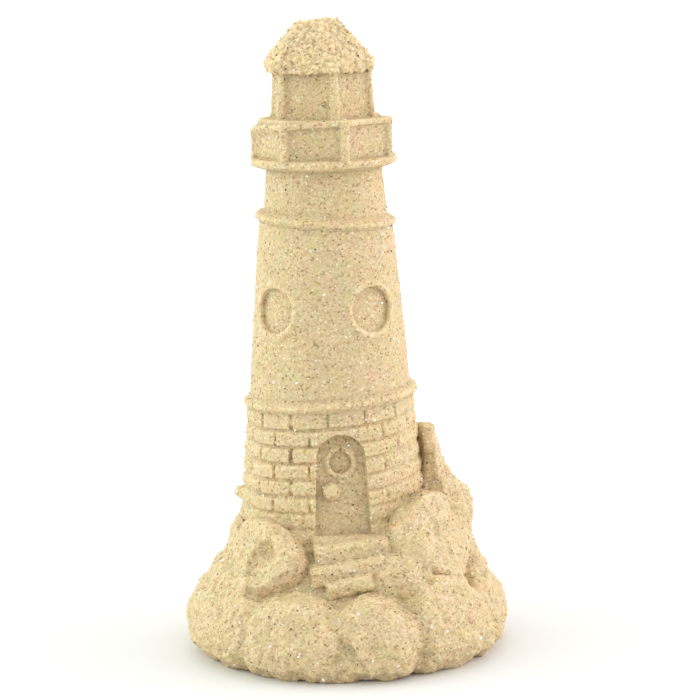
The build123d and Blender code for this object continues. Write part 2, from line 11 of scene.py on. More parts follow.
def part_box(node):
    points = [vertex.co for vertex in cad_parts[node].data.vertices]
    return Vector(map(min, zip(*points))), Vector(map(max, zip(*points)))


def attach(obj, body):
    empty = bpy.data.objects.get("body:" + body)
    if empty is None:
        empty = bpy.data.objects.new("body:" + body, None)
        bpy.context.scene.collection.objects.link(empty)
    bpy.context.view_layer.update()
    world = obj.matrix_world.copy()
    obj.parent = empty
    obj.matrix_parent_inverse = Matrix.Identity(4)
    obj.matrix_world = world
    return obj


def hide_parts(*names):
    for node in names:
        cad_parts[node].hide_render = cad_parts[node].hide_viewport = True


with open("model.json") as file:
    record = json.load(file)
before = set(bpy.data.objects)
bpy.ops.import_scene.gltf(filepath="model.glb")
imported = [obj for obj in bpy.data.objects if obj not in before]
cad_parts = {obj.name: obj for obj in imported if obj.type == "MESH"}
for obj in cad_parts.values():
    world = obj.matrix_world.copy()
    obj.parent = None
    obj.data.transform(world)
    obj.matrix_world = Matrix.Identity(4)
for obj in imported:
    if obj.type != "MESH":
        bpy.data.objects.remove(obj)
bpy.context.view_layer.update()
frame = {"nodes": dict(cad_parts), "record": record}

# A lighthouse figurine cast in resin-bound beach sand. The casting has one continuous skin: the joints
# between its pieces are soft creases, and whole grains stand out all over it. So all the pieces are first
# fused into one skin, that skin is softened, and then the outside of every piece is laid onto it and covered
# with grains. Bearings are in degrees from the front, to the right. Pairs are where a change starts and ends.

MM = 0.001
SCENE = bpy.context.scene

# Meshes of the skin and of the pieces laid onto it, and the share of faces that a thinned piece keeps
SKIN_VOXEL = 0.20 * MM
PIECE_VOXEL = 0.22 * MM
VOXELS = {"brick_drum": 0.216 * MM, "tower_shaft": 0.24 * MM, "mound": 0.5 * MM}
FACES_KEPT = {"brick_drum": 0.62}
WELD = 0.001 * MM
PIECE_SWELL = 0.10 * MM
SKIN_REACH = 1.6 * MM
FACING_FROM, FACING_TO = 0.05, 0.40

# Rounds of softening that each zone of the casting adds
SMOOTH_STEP = 0.5
ROUNDS = {
    "tower": 1,
    "rocks": 28,
    "stairs": 24,
    "bricks": 3,
    "worn": 50,
    "rims": 5,
    "blurred": 60,
    "gallery": 3,
    "roof": 5,
}

# Clefts between the rocks: rounds of filling, and the share of it that a hollowed rock is spared
CLEFT_ROUNDS = 150
OPEN_ROCKS = {"rock_upper_left": 1.0, "rock_front_wedge": 0.7}
OPEN_MARGIN = 0.5 * MM

# Edges of the zones
STAIR_NODES = ("stair_slab_upper", "stair_slab_middle", "stair_slab_lower")
STAIR_MARGIN = 1.5 * MM
DOOR_NODES = ("door_leaf", "door_knob")
DOOR_MARGIN = 0.8 * MM
OFF_WALL = (0.1 * MM, 1.0 * MM)
SEAT_EDGE = 2 * MM
BRICK_EDGE = 1 * MM
GALLERY_EDGE = 1.0 * MM
ROOF_EDGE = (-0.6 * MM, 0.2 * MM)

# Worn brickwork: at both sides, nearer the front low on the right, at the buried foot, and in patches
WORN_SIDE = (52, 66)
WORN_LOW_RIGHT = (34, 50)
LOW_BELOW_BELT = (3 * MM, 8 * MM)
WORN_BACK = (92, 108)
BURIED_ABOVE_SILL = (2.6 * MM, 4.2 * MM)
PATCH_WEAR = 0.35
PATCH_BELOW_BELT = (8 * MM, 11 * MM)
PATCH_EDGE = (0.1, 0.7)
# Two waves over the wall whose product makes the patches: turn per degree, turn per mm of height, start
PATCH_WAVES = ((0.13, 0.5, 0.0), (0.07, -0.9, 2.0))

# Side faces with blurred relief, from these bearings on the left and on the right
BLURRED_SIDES = {"parapet_posts": (-42, 26), "lantern_mullions": (-64, 28)}
BLUR_FADE = 8
BLUR_BACK = (100, 115)
BLUR_FOOT = (0.1 * MM, 0.7 * MM)
BLUR_TOP = 0.6 * MM

# Raised rims round the windows. The crest lies this many half widths outside the recess
WINDOW_BEARINGS = (-46.0, 37.5, 134.0, 217.5)
RIM_R = 4.2 * MM
RIM_WIDTH = 1.5 * MM
RIM_RISE = 0.28 * MM
RIM_CREST = 0.7

# Upright brick joints over the door and beside it, as (course from the top, bearing). Their ends are given in
# course heights from the middle
SCORED_JOINTS = ((0, -27.4), (0, -1.7), (0, 24.0), (2, -27.4), (4, -27.4))
JOINT_DEPTH = 0.50 * MM
JOINT_HALF = 0.26 * MM
JOINT_END = (0.40, 0.50)
JOINT_REACH = 1 * MM
# Painted shade that a scored joint puts into the crease tone, for each unit of its depth
JOINT_SHADE = 0.4
WALL_HEIGHT = 25.3 * MM
COURSE_HEIGHT = 2.95 * MM
COURSE_TILT = math.radians(3.5)
WALL_BATTER = 0.09

# Ridges and creases: how far a point stands out of the surface round it, and the painted highlight on
# # ridges and painted shade in creases that this puts into its tone
RIDGE_ROUNDS = 30
RIDGE_HEIGHT = 0.16 * MM
PAINTED_RIDGE_HIGHLIGHT = 1.20
PAINTED_CREASE_SHADE = 0.92

# Roughness of the casting: soft lumps and clumps of grains, as heights that each zone adds, and then
# single grains, which are nodules on the roof
LUMP_SIZE = 5.0 * MM
LUMPS = {"tower": 0.10 * MM, "rocks": 0.90 * MM}
CLUMP_SIZE = 1.25 * MM
CLUMPS = {"tower": 0.05 * MM, "rocks": 0.18 * MM, "stairs": 0.30 * MM, "roof": 0.45 * MM}
SWELL_DETAIL = 2.0
SWELL_GAIN = 2.5
GRAIN_SIZE = 0.32 * MM
GRAIN_HEIGHT = 0.05 * MM
GRAIN_EDGE = 0.45
ROOF_GRAINS = {"Grain Size": 0.95 * MM, "Grain Height": 0.65 * MM}

# Tones of the bonded sand: from grain to grain, in slow drifts, in the gaps between grains, and on the roof
SAND_TONES = (
    (0.00, "#917954"),
    (0.05, "#aa926e"),
    (0.14, "#bda57c"),
    (0.50, "#c4ae85"),
    (0.86, "#ccb891"),
    (0.98, "#d4c19e"),
    (1.00, "#e1d4ba"),
)
DRIFT_SIZE = 2.6 * MM
DRIFT_DETAIL = 2.0
DRIFT_TINT = (0.20, 0.20, 0.25)
DRIFT_BASE = (0.885, 0.885, 0.858)
GAP_FROM, GAP_TO = 0.25, 0.75
GAP_TONE = 0.91
# The roof's nodules get a painted highlight and the pits between them painted shade
NODULE_FROM, NODULE_TO = 0.3, 0.8
PAINTED_NODULE_HIGHLIGHT, PAINTED_PIT_SHADE = 1.22, 0.84
GLOSSY_GRAIN, MATT_GRAIN = 0.62, 0.98
GRAIN_BUMP = 0.12 * MM
BUMP_STRENGTH = 0.22
RESIN_IOR = 1.5

# Loose grains: how their tone changes from grain to grain, and how far above the floor they start
TINT_SIZE = 0.8 * MM
TINT_FROM, TINT_TO = 0.3, 0.7
DULL_GRAIN, BRIGHT_GRAIN = 0.7, 1.25
FLOOR_MARGIN = 0.4 * MM
FULL_TURN = 6.3

# Floor, and light tent: strength all round, in front where the camera looks in, and what its lit walls and
# its roof add. Spreads are cosines of the angle from the middle of each
FLOOR_HALF = 6.0
CARD_WHITE = "#dddddb"
CARD_ROUGHNESS = 0.9
TENT_ROUND = 1.02
TENT_FRONT = 0.73
FRONT_SPREAD = (0.45, 0.95)
TENT_WALLS = 2.40
WALLS_SPREAD = (0.50, 0.95)
TENT_ROOF = 0.36
ROOF_SPREAD = (0.20, 1.00)
TENT_LEFT, TENT_RIGHT = "#f8fffa", "#fffbfd"
TENT_BLEND = 0.8

# Camera, measured from the tower's axis at floor level
CAMERA_SIDE = 3.8 * MM
CAMERA_BACK = 478 * MM
CAMERA_HEIGHT = 137 * MM
AIM_HEIGHT = 54 * MM
CAMERA_ROLL = math.radians(1.5)
CAMERA_LENS = 136.6
CAMERA_SENSOR = 36.0
CAMERA_NEAR = 10 * MM


# Helpers


def linear(hex_colour, alpha=1.0):
    """An sRGB hex colour as linear RGBA."""
    values = [int(hex_colour[i:i + 2], 16) / 255 for i in (1, 3, 5)]
    return [v / 12.92 if v <= 0.04045 else ((v + 0.055) / 1.055) ** 2.4 for v in values] + [alpha]


def add(tree, kind, inputs=None, **settings):
    """Adds a node with its settings. An input takes a value, or another node's socket, which is linked to
    it. Inputs 1 to 4 of a Map Range node are the range that it reads and the range that it gives."""
    node = tree.nodes.new(kind)
    for name, value in settings.items():
        setattr(node, name, value)
    for socket, value in (inputs or {}).items():
        if isinstance(value, bpy.types.NodeSocket):
            tree.links.new(value, node.inputs[socket])
        else:
            node.inputs[socket].default_value = value
    return node


def place(name, mesh):
    """A new object at the origin with this mesh."""
    piece = bpy.data.objects.new(name, mesh)
    SCENE.collection.objects.link(piece)
    return piece


def evaluated(piece):
    """The piece's mesh with its modifiers applied. The piece itself is taken away."""
    deps = bpy.context.evaluated_depsgraph_get()
    mesh = bpy.data.meshes.new_from_object(piece.evaluated_get(deps))
    bpy.data.objects.remove(piece)
    return mesh


def points_of(mesh):
    points = np.empty(len(mesh.vertices) * 3)
    mesh.vertices.foreach_get("co", points)
    return points.reshape(-1, 3)


def normals_of(mesh):
    normals = np.empty(len(mesh.vertices) * 3)
    mesh.vertex_normals.foreach_get("vector", normals)
    return normals.reshape(-1, 3)


def set_points(mesh, points):
    mesh.vertices.foreach_set("co", np.ascontiguousarray(points, dtype=np.float32).ravel())
    mesh.update()


def edges_of(mesh):
    edges = np.empty(len(mesh.edges) * 2, dtype=np.int64)
    mesh.edges.foreach_get("vertices", edges)
    return edges.reshape(-1, 2)


def store(mesh, name, values):
    """Keeps one number for each point as an attribute of the mesh."""
    attribute = mesh.attributes.new(name, "FLOAT", "POINT")
    attribute.data.foreach_set("value", values.astype(np.float32))


def ramp(values, low, high):
    """Smooth step from 0 at low to 1 at high."""
    share = np.clip((values - low) / (high - low), 0, 1)
    return share * share * (3 - 2 * share)


# Places on the figurine, from the frame


deck_low, deck_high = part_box("gallery_deck")
AXIS = (deck_low + deck_high) / 2
DECK_Z = deck_low.z
drum_low, drum_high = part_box("brick_drum")
SEAT_Z = drum_low.z
DRUM_R = (drum_high.y - drum_low.y) / 2
BELT_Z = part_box("lower_belt")[0].z
SILL_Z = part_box("door_leaf")[0].z
EAVE_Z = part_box("roof_cap")[0].z
WINDOW_Z = sum(corner.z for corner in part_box("window_panes")) / 2


def from_axis(points):
    """The x, y and z of points, measured from the tower's axis at floor level."""
    return (points - np.array([AXIS.x, AXIS.y, 0])).T


def within(points, nodes, margin):
    """Share of the box round some nodes: 1 inside it, 0 beyond the margin."""
    corners = np.array([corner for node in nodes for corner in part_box(node)])
    beyond = np.maximum(corners.min(axis=0) - points, points - corners.max(axis=0)).max(axis=1)
    return 1 - ramp(beyond, 0, margin)


def off_wall(x, y, z):
    """How far points stand out of the brick drum's battered wall."""
    return np.hypot(x, y) - (DRUM_R - WALL_BATTER * (z - SEAT_Z))


def off_rims(x, y, z):
    """How far points are from the nearest window rim, inside it less than zero."""
    nearest = np.full(len(x), np.inf)
    for window in np.radians(WINDOW_BEARINGS):
        aside = x * math.cos(window) + y * math.sin(window)
        ahead = x * math.sin(window) - y * math.cos(window)
        off = np.hypot(aside, z - WINDOW_Z) - RIM_R
        nearest = np.where((ahead > 0) & (np.abs(off) < np.abs(nearest)), off, nearest)
    return nearest


def brick_wear(bearing, z):
    """How far the joints of the brickwork are worn away, 0 to 1."""
    low = ramp(BELT_Z - z, *LOW_BELOW_BELT)
    start, end = (side + low * (lower - side) for side, lower in zip(WORN_SIDE, WORN_LOW_RIGHT))
    sides = (ramp(bearing, start, end) + ramp(-bearing, *WORN_SIDE)) * (1 - ramp(np.abs(bearing), *WORN_BACK))
    buried = 1 - ramp(z - SILL_Z, *BURIED_ABOVE_SILL)
    waves = 1.0
    for per_degree, per_mm, first in PATCH_WAVES:
        waves = waves * np.sin(per_degree * bearing + per_mm * z / MM + first)
    patched = PATCH_WEAR * ramp(waves, *PATCH_EDGE) * ramp(BELT_Z - z, *PATCH_BELOW_BELT)
    return np.maximum(np.maximum(sides, buried), patched)


def blurred_sides(bearing, z):
    """How far points lie on the side faces of the parapet and the lantern, 0 to 1."""
    blurred = 0
    for node, (left, right) in BLURRED_SIDES.items():
        foot, top = (corner.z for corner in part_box(node))
        level = ramp(z - foot, *BLUR_FOOT) * ramp(top - z, 0, BLUR_TOP)
        side = ramp(left - bearing, 0, BLUR_FADE) + ramp(bearing - right, 0, BLUR_FADE)
        blurred = blurred + level * side * (1 - ramp(np.abs(bearing), *BLUR_BACK))
    return blurred


def zone_shares(points):
    """How far each point belongs to each zone of the casting, 0 to 1. All of them belong to the tower."""
    x, y, z = from_axis(points)
    bearing = np.degrees(np.arctan2(x, -y))
    outside = np.maximum(ramp(off_wall(x, y, z), *OFF_WALL), ramp(SEAT_Z - z, 0, SEAT_EDGE))
    rocks = np.where(z < BELT_Z, outside, 0)
    stairs = rocks * within(points, STAIR_NODES, STAIR_MARGIN)
    door = within(points, DOOR_NODES, DOOR_MARGIN)
    wall = ramp(z - SEAT_Z, 0, BRICK_EDGE) * ramp(BELT_Z - z, 0, BRICK_EDGE)
    bricks = wall * (1 - rocks) * (1 - door)
    return {
        "tower": np.ones(len(points)),
        "rocks": rocks - stairs,
        "stairs": stairs,
        "bricks": bricks,
        "worn": bricks * brick_wear(bearing, z),
        "rims": 1 - ramp(np.abs(off_rims(x, y, z)), RIM_WIDTH / 2, RIM_WIDTH),
        "blurred": blurred_sides(bearing, z),
        "gallery": ramp(z - DECK_Z, -GALLERY_EDGE, 0),
        "roof": ramp(z - EAVE_Z, *ROOF_EDGE),
    }


def by_zone(zones, amounts):
    """What the zones add up to at each point."""
    return sum(zones[zone] * amount for zone, amount in amounts.items())


# Skin


def merged(nodes):
    """One mesh of several CAD nodes, with their loose triangles joined."""
    bm = bmesh.new()
    for node in nodes:
        bm.from_mesh(frame["nodes"][node].data)
    bmesh.ops.remove_doubles(bm, verts=bm.verts, dist=WELD)
    mesh = bpy.data.meshes.new("merged")
    bm.to_mesh(mesh)
    bm.free()
    return mesh


def remeshed(mesh, voxel):
    """The outer surface of a mesh in even quads."""
    piece = place("remeshing", mesh)
    remesh = piece.modifiers.new("voxels", "REMESH")
    remesh.mode = "VOXEL"
    remesh.voxel_size = voxel
    return evaluated(piece)


def outer_shell(mesh):
    """Only the largest connected part, without bubbles closed inside it."""
    edges = edges_of(mesh)
    label = np.arange(len(mesh.vertices))
    while True:
        lowest = np.minimum(label[edges[:, 0]], label[edges[:, 1]])
        fresh = label.copy()
        np.minimum.at(fresh, edges[:, 0], lowest)
        np.minimum.at(fresh, edges[:, 1], lowest)
        fresh = fresh[fresh]
        if np.array_equal(fresh, label):
            break
        label = fresh
    main = np.bincount(label).argmax()
    bm = bmesh.new()
    bm.from_mesh(mesh)
    bm.verts.ensure_lookup_table()
    bmesh.ops.delete(bm, geom=[bm.verts[i] for i in np.flatnonzero(label != main)], context="VERTS")
    bm.to_mesh(mesh)
    bm.free()
    return mesh


def soften(mesh, rounds, only_fill=False):
    """Evens out a mesh, each point for its own number of rounds, or only fills its hollows."""
    points, normals, edges = points_of(mesh), normals_of(mesh), edges_of(mesh)
    first, second = edges[(rounds[edges] > 0).any(axis=1)].T
    count = np.bincount(first, minlength=len(points)) + np.bincount(second, minlength=len(points))
    count = np.maximum(count, 1)[:, None]
    for turn in range(int(rounds.max())):
        total = np.empty_like(points)
        for axis in range(3):
            total[:, axis] = np.bincount(first, points[second, axis], len(points))
            total[:, axis] += np.bincount(second, points[first, axis], len(points))
        move = SMOOTH_STEP * np.clip(rounds - turn, 0, 1)[:, None] * (total / count - points)
        if only_fill:
            move = np.maximum((move * normals).sum(axis=1), 0)[:, None] * normals
        points += move
    set_points(mesh, points)


def casting_skin():
    """The one skin of the whole casting, softened as cast sand is, with a raised rim round each window."""
    mesh = outer_shell(remeshed(merged(frame["nodes"]), SKIN_VOXEL))
    points = points_of(mesh)
    zones = zone_shares(points)
    spared = np.zeros(len(points))
    for rock, share in OPEN_ROCKS.items():
        spared = np.maximum(spared, share * within(points, [rock], OPEN_MARGIN))
    soften(mesh, zones["rocks"] * (1 - spared) * CLEFT_ROUNDS, only_fill=True)
    soften(mesh, by_zone(zones, ROUNDS))
    points = points_of(mesh)
    off_crest = off_rims(*from_axis(points)) / (RIM_WIDTH / 2) - RIM_CREST
    rise = RIM_RISE * np.exp(-off_crest ** 2)
    set_points(mesh, points + rise[:, None] * normals_of(mesh))
    return mesh


def ridges(mesh):
    """How far each face stands out of the surface round it: above zero on ridges, below it in creases."""
    even = mesh.copy()
    soften(even, np.full(len(mesh.vertices), RIDGE_ROUNDS))
    out = ((points_of(mesh) - points_of(even)) * normals_of(mesh)).sum(axis=1)
    corners = np.empty(len(mesh.loops), dtype=np.int64)
    mesh.loops.foreach_get("vertex_index", corners)
    return out[corners.reshape(-1, 4)].mean(axis=1)


def score_joints(mesh):
    """Cuts the scored joints into the brick wall, and gives their depth at each point."""
    points = points_of(mesh)
    x, y, z = from_axis(points)
    radius, bearing = np.hypot(x, y), np.arctan2(x, -y)
    depth = np.zeros(len(points))
    for course, joint in SCORED_JOINTS:
        middle = SEAT_Z + WALL_HEIGHT - (course + 0.5) * COURSE_HEIGHT + x * math.tan(COURSE_TILT)
        aside = radius * (bearing - math.radians(joint)) / JOINT_HALF
        inside = 1 - ramp(np.abs(z - middle) / COURSE_HEIGHT, *JOINT_END)
        depth = np.maximum(depth, JOINT_DEPTH * np.exp(-aside ** 2) * inside)
    depth[np.abs(off_wall(x, y, z)) > JOINT_REACH] = 0
    set_points(mesh, points - depth[:, None] * normals_of(mesh))
    return depth


def thinned(mesh, hidden, kept):
    """The mesh with this share of its faces, thinned out only where other pieces hide it."""
    piece = place("thinning", mesh)
    group = piece.vertex_groups.new(name="hidden")
    group.add(hidden, 1.0, "REPLACE")
    decimate = piece.modifiers.new("thin", "DECIMATE")
    decimate.ratio = kept
    decimate.vertex_group = group.name
    return evaluated(piece)


def on_skin(node, skin_tree, skin_ridges):
    """A closed copy of a node whose outside lies on the skin. Faces that meet other pieces press into
    them."""
    mesh = remeshed(merged([node]), VOXELS.get(node, PIECE_VOXEL))
    points, normals = points_of(mesh), normals_of(mesh)
    laid = points.copy()
    ridge = np.zeros(len(points))
    hidden = []
    for index, (point, normal) in enumerate(zip(points, normals)):
        spot, skin_normal, face, _ = skin_tree.find_nearest(Vector(point), SKIN_REACH)
        share = 0.0
        if spot is not None:
            facing = skin_normal.x * normal[0] + skin_normal.y * normal[1] + skin_normal.z * normal[2]
            share = min(max((facing - FACING_FROM) / (FACING_TO - FACING_FROM), 0), 1)
            laid[index] += share * (np.array(spot) - point)
            ridge[index] = share * skin_ridges[face]
        laid[index] += (1 - share) * PIECE_SWELL * normal
        if share == 0:
            hidden.append(index)
    set_points(mesh, laid)
    if node == "brick_drum":
        # The scored joints get painted shade, darker where they are cut deeper
        ridge -= JOINT_SHADE * score_joints(mesh)
    store(mesh, "ridge", ridge)
    return thinned(mesh, hidden, FACES_KEPT[node]) if node in FACES_KEPT else mesh


# Sand


def mark_heights(mesh, attribute, heights):
    """Stores how high the lumps or the clumps are at each point, for the sand's node tree."""
    store(mesh, attribute, by_zone(zone_shares(points_of(mesh)), heights))


def sand_tree():
    """Node tree that raises lumps, clumps and single grains on a surface."""
    tree = bpy.data.node_groups.new("cast sand", "GeometryNodeTree")
    tree.interface.new_socket("Geometry", in_out="INPUT", socket_type="NodeSocketGeometry")
    sizes = {"Lump Size": LUMP_SIZE, "Clump Size": CLUMP_SIZE, "Grain Size": GRAIN_SIZE,
             "Grain Height": GRAIN_HEIGHT}
    for name, value in sizes.items():
        tree.interface.new_socket(name, in_out="INPUT", socket_type="NodeSocketFloat").default_value = value
    tree.interface.new_socket("Material", in_out="INPUT", socket_type="NodeSocketMaterial")
    tree.interface.new_socket("Geometry", in_out="OUTPUT", socket_type="NodeSocketGeometry")
    given = add(tree, "NodeGroupInput").outputs
    spot = add(tree, "GeometryNodeInputPosition").outputs[0]
    scales = {}
    for name in ("Lump Size", "Clump Size", "Grain Size"):
        scales[name] = add(tree, "ShaderNodeMath", {0: 1.0, 1: given[name]}, operation="DIVIDE").outputs[0]
    swells = []
    for name, attribute in (("Lump Size", "lump"), ("Clump Size", "clump")):
        noise = add(tree, "ShaderNodeTexNoise",
                    {"Vector": spot, "Scale": scales[name], "Detail": SWELL_DETAIL})
        centred = add(tree, "ShaderNodeMath", {0: noise.outputs[0], 1: 0.5}, operation="SUBTRACT")
        swung = add(tree, "ShaderNodeMath", {0: centred.outputs[0], 1: SWELL_GAIN}, operation="MULTIPLY")
        height = add(tree, "GeometryNodeInputNamedAttribute", {"Name": attribute}, data_type="FLOAT")
        swells.append(add(tree, "ShaderNodeMath", {0: swung.outputs[0], 1: height.outputs[0]},
                          operation="MULTIPLY").outputs[0])
    cells = add(tree, "ShaderNodeTexVoronoi", {"Vector": spot, "Scale": scales["Grain Size"]}, feature="F1")
    dome = add(tree, "ShaderNodeMath", {0: GRAIN_EDGE, 1: cells.outputs["Distance"]}, operation="SUBTRACT")
    grains = add(tree, "ShaderNodeMath", {0: dome.outputs[0], 1: given["Grain Height"]}, operation="MULTIPLY")
    rise = add(tree, "ShaderNodeMath", {0: swells[0], 1: swells[1]}, operation="ADD")
    rise = add(tree, "ShaderNodeMath", {0: rise.outputs[0], 1: grains.outputs[0]}, operation="ADD")
    normal = add(tree, "GeometryNodeInputNormal").outputs[0]
    offset = add(tree, "ShaderNodeVectorMath", {0: normal, "Scale": rise.outputs[0]}, operation="SCALE")
    moved = add(tree, "GeometryNodeSetPosition", {"Geometry": given["Geometry"], "Offset": offset.outputs[0]})
    real = add(tree, "GeometryNodeRealizeInstances", {"Geometry": moved.outputs[0]})
    done = add(tree, "GeometryNodeSetMaterial", {"Geometry": real.outputs[0], "Material": given["Material"]})
    add(tree, "NodeGroupOutput", {0: done.outputs[0]})
    return tree


def strewn_tree():
    """Node tree that presses loose grains of one kind into a surface."""
    tree = bpy.data.node_groups.new("strewn grains", "GeometryNodeTree")
    tree.interface.new_socket("Geometry", in_out="INPUT", socket_type="NodeSocketGeometry")
    for name, kind in (("Per Square Metre", "Float"), ("Smallest", "Float"), ("Largest", "Float"),
                       ("Seed", "Int"), ("Material", "Material")):
        tree.interface.new_socket(name, in_out="INPUT", socket_type="NodeSocket" + kind)
    tree.interface.new_socket("Geometry", in_out="OUTPUT", socket_type="NodeSocketGeometry")
    given = add(tree, "NodeGroupInput").outputs
    height = add(tree, "ShaderNodeSeparateXYZ", {0: add(tree, "GeometryNodeInputPosition").outputs[0]})
    clear = add(tree, "FunctionNodeCompare", {0: height.outputs["Z"], 1: FLOOR_MARGIN},
                operation="GREATER_THAN")
    spots = add(tree, "GeometryNodeDistributePointsOnFaces",
                {"Mesh": given["Geometry"], "Selection": clear.outputs[0],
                 "Density": given["Per Square Metre"], "Seed": given["Seed"]})
    grain = add(tree, "GeometryNodeMeshIcoSphere", {"Radius": 1.0, "Subdivisions": 1})
    sizes = add(tree, "FunctionNodeRandomValue", data_type="FLOAT_VECTOR")
    for corner, name in ((0, "Smallest"), (1, "Largest")):
        both = add(tree, "ShaderNodeCombineXYZ", {axis: given[name] for axis in ("X", "Y", "Z")})
        tree.links.new(both.outputs[0], sizes.inputs[corner])
    tree.links.new(given["Seed"], sizes.inputs["Seed"])
    turns = add(tree, "FunctionNodeRandomValue", {1: [FULL_TURN] * 3}, data_type="FLOAT_VECTOR")
    laid = add(tree, "GeometryNodeInstanceOnPoints",
               {"Points": spots.outputs["Points"], "Instance": grain.outputs["Mesh"],
                "Scale": sizes.outputs[0], "Rotation": turns.outputs[0]})
    real = add(tree, "GeometryNodeRealizeInstances", {"Geometry": laid.outputs[0]})
    done = add(tree, "GeometryNodeSetMaterial", {"Geometry": real.outputs[0], "Material": given["Material"]})
    add(tree, "NodeGroupOutput", {0: done.outputs[0]})
    return tree


def grown(name, mesh, tree, **values):
    """The mesh that a node tree makes from another mesh."""
    piece = place(name, mesh)
    nodes = piece.modifiers.new("nodes", "NODES")
    nodes.node_group = tree
    for socket in tree.interface.items_tree:
        if socket.in_out == "INPUT" and socket.name in values:
            nodes[socket.identifier] = values[socket.name]
    return evaluated(piece)


# Finishes


def bonded_sand(name, clumped=False):
    """Fine beach sand set in clear resin: matt grains of many tones, in faint tinted drifts. Creases get
    painted shade and ridges a painted highlight; on the roof the nodules get a painted highlight and the pits
    painted shade."""
    material = bpy.data.materials.new(name)
    material.use_nodes = True
    tree = material.node_tree
    shader = tree.nodes["Principled BSDF"]
    spot = add(tree, "ShaderNodeTexCoord").outputs["Object"]
    grains = add(tree, "ShaderNodeTexVoronoi", {"Vector": spot, "Scale": 1 / GRAIN_SIZE})
    tone = add(tree, "ShaderNodeSeparateColor", {0: grains.outputs["Color"]})
    scale = add(tree, "ShaderNodeValToRGB", {0: tone.outputs[0]})
    stops = scale.color_ramp.elements
    stops.remove(stops[1])
    for index, (share, colour) in enumerate(SAND_TONES):
        stop = stops.new(share) if index else stops[0]
        stop.position = share
        stop.color = linear(colour)
    drift = add(tree, "ShaderNodeTexNoise", {"Vector": spot, "Scale": 1 / DRIFT_SIZE, "Detail": DRIFT_DETAIL})
    tint = add(tree, "ShaderNodeVectorMath", {0: drift.outputs["Color"], 1: DRIFT_TINT, 2: DRIFT_BASE},
               operation="MULTIPLY_ADD")
    tinted = add(tree, "ShaderNodeVectorMath", {0: scale.outputs[0], 1: tint.outputs[0]},
                 operation="MULTIPLY")
    gaps = add(tree, "ShaderNodeMapRange",
               {0: grains.outputs["Distance"], 1: GAP_FROM, 2: GAP_TO, 3: 1.0, 4: GAP_TONE})
    # Painted light: ridges are painted lighter as a painted highlight, and creases darker as painted shade
    ridge = add(tree, "ShaderNodeAttribute", attribute_name="ridge").outputs["Fac"]
    painted_relief_light = add(tree, "ShaderNodeMapRange",
                 {0: ridge, 1: -RIDGE_HEIGHT, 2: RIDGE_HEIGHT, 3: PAINTED_CREASE_SHADE, 4: PAINTED_RIDGE_HIGHLIGHT})
    shade = add(tree, "ShaderNodeMath", {0: gaps.outputs[0], 1: painted_relief_light.outputs[0]}, operation="MULTIPLY")
    colour = add(tree, "ShaderNodeVectorMath", {0: tinted.outputs[0], "Scale": shade.outputs[0]},
                 operation="SCALE")
    # Painted light on the roof: the nodules are painted lighter and the pits between them darker
    if clumped:
        clumps = add(tree, "ShaderNodeTexVoronoi", {"Vector": spot, "Scale": 1 / ROOF_GRAINS["Grain Size"]})
        painted_clump_light = add(tree, "ShaderNodeMapRange",
                   {0: clumps.outputs["Distance"], 1: NODULE_FROM, 2: NODULE_TO, 3: PAINTED_NODULE_HIGHLIGHT, 4: PAINTED_PIT_SHADE})
        colour = add(tree, "ShaderNodeVectorMath", {0: colour.outputs[0], "Scale": painted_clump_light.outputs[0]},
                     operation="SCALE")
    tree.links.new(colour.outputs[0], shader.inputs["Base Color"])
    gloss = add(tree, "ShaderNodeMapRange", {0: tone.outputs[1], 3: GLOSSY_GRAIN, 4: MATT_GRAIN})
    tree.links.new(gloss.outputs[0], shader.inputs["Roughness"])
    bump = add(tree, "ShaderNodeBump",
               {"Height": grains.outputs["Distance"], "Distance": GRAIN_BUMP, "Strength": BUMP_STRENGTH},
               invert=True)
    tree.links.new(bump.outputs[0], shader.inputs["Normal"])
    shader.inputs["IOR"].default_value = RESIN_IOR
    return material


def single_grain(name, colour, roughness, metallic=0.0):
    """One kind of loose mineral grain, with a little change of tone from grain to grain."""
    material = bpy.data.materials.new(name)
    material.use_nodes = True
    tree = material.node_tree
    shader = tree.nodes["Principled BSDF"]
    spot = add(tree, "ShaderNodeTexCoord").outputs["Object"]
    drift = add(tree, "ShaderNodeTexNoise", {"Vector": spot, "Scale": 1 / TINT_SIZE})
    tint = add(tree, "ShaderNodeMapRange",
               {0: drift.outputs[0], 1: TINT_FROM, 2: TINT_TO, 3: DULL_GRAIN, 4: BRIGHT_GRAIN})
    shade = add(tree, "ShaderNodeVectorMath", {0: linear(colour)[:3], "Scale": tint.outputs[0]},
                operation="SCALE")
    tree.links.new(shade.outputs[0], shader.inputs["Base Color"])
    shader.inputs["Roughness"].default_value = roughness
    shader.inputs["Metallic"].default_value = metallic
    return material


def white_floor():
    """Matt white card, without gloss or grain, that carries only the soft shadow."""
    material = bpy.data.materials.new("matt white card")
    material.use_nodes = True
    shader = material.node_tree.nodes["Principled BSDF"]
    shader.inputs["Base Color"].default_value = linear(CARD_WHITE)
    shader.inputs["Roughness"].default_value = CARD_ROUGHNESS
    return material


# Studio


